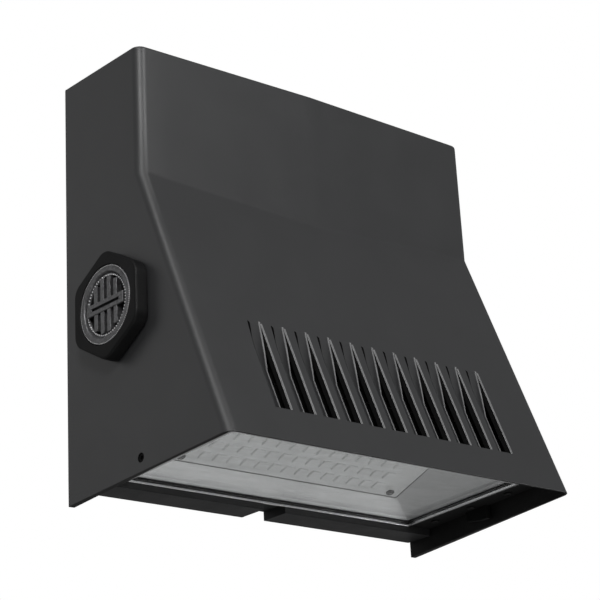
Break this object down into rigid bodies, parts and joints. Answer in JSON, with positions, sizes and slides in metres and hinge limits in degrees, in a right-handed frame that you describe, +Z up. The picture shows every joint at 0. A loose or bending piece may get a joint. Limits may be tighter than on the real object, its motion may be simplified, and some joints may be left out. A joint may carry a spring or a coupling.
{
  "type": "wall_pack_light",
  "caption": "Dark grey cast wall pack light with a louvered sloped front, a plugged side port and a glass-covered LED tray that shines down",
  "frame": {"origin": "On the wall face, the back of the foam pad, at the middle of the wall bolt pattern", "axes": "+X to the light's left as it hangs and is looked at from behind, that is to the viewer's right from the front; +Y into the wall; +Z up"},
  "size_m": [0.2597, 0.1391, 0.248],
  "materials": {
    "dark_coat": "fine textured powder coat, satin",
    "foam": "closed-cell foam",
    "zinc_steel": "zinc plated",
    "black_steel": "black oxide",
    "green_steel": "green lacquer",
    "raw_aluminium": "extruded",
    "reflector_metal": "satin white",
    "trim_metal": "bright edge",
    "board_white": "solder mask",
    "phosphor": "silicone over phosphor",
    "optic_plastic": "frosted moulding",
    "lens_glass": "clear",
    "seal_rubber": "matte",
    "connector_plastic": "moulded",
    "driver_case": "satin",
    "surge_plastic": "potted case",
    "wire_red": "insulation",
    "wire_black": "insulation",
    "port_plastic": "moulded",
    "plug_metal": "dark satin with bright ribs"
  },
  "bodies": {
    "base": {"back_plate": "dark_coat", "wall_gasket": "foam", "engine_bracket_left": "zinc_steel", "engine_bracket_right": "zinc_steel", "bracket_screws": "zinc_steel", "heat_sink": "raw_aluminium", "sink_screws": "zinc_steel", "led_board": "board_white", "led_chips": "phosphor", "board_connector": "connector_plastic", "board_screws": "zinc_steel", "optic_sheet": "optic_plastic", "reflector": "reflector_metal", "lens_seal": "seal_rubber", "lens_glass": "lens_glass", "lens_trim": "trim_metal", "lens_frame": "dark_coat", "frame_screws": "black_steel", "driver": "driver_case", "driver_screws": "zinc_steel", "surge_protector": "surge_plastic", "surge_strap": "zinc_steel", "terminal_block": "connector_plastic", "terminal_screws": "zinc_steel", "ground_screw": "green_steel", "dc_leads": "wire_red", "line_leads": "wire_black"},
    "cover": {"hood": "dark_coat", "hinge_pins": "zinc_steel", "lock_screws": "black_steel", "port_collar": "port_plastic", "port_gasket": "seal_rubber", "port_locknut": "port_plastic"},
    "plug": {"port_plug": "plug_metal", "plug_ring": "seal_rubber"}
  },
  "joints": [
    {"name": "hood_swing", "type": "hinge", "parent": "base", "child": "cover", "pos_m": [0, -0.0095, 0.1105], "axis": [-1, 0, 0], "range_deg": [0, 70]},
    {"name": "port_plug_twist", "type": "hinge", "parent": "cover", "child": "plug", "pos_m": [-0.12411, -0.0505, -0.031], "axis": [-0.9994, -0.0332, 0.0035], "range_deg": [0, 45]}
  ]
}
